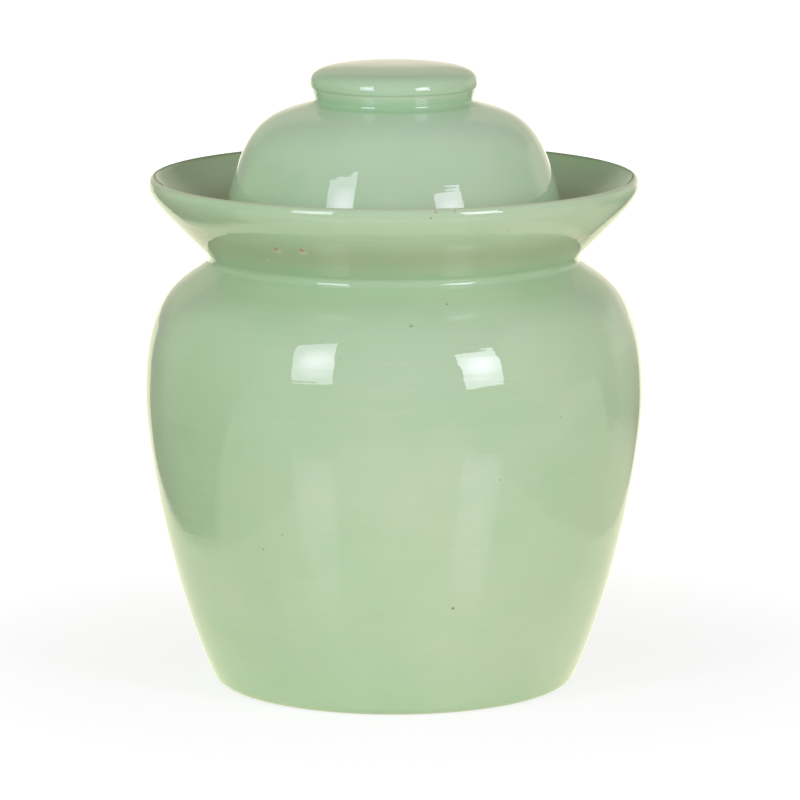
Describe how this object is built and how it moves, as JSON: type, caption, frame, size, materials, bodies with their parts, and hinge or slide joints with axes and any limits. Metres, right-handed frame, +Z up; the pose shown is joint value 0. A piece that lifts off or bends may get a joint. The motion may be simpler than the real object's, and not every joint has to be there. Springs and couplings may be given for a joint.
{
  "type": "water seal pickle jar",
  "caption": "Round-bellied glazed stoneware jar with a flared water trough around its neck and a loose domed lid that stands in the trough, for pickling without air.",
  "frame": {"origin": "centre of the standing ring, on the table, on the jar's axis", "axes": "+Z up along the jar's axis, +X to the right and +Y away from the viewer as the picture shows the jar"},
  "size_m": [0.205, 0.205, 0.2569],
  "materials": {
    "celadon_glaze": "glossy pale green celadon glaze over light stoneware, fired"
  },
  "bodies": {
    "jar": {"lower_body": "celadon_glaze", "upper_body": "celadon_glaze", "neck_collar": "celadon_glaze", "water_trough": "celadon_glaze"},
    "lid": {"lid_bowl": "celadon_glaze", "lid_knob": "celadon_glaze"}
  },
  "joints": [
    {"name": "lid_lift", "type": "slide", "parent": "jar", "child": "lid", "axis": [0, 0, 1], "range_m": [0, 0.08]}
  ]
}
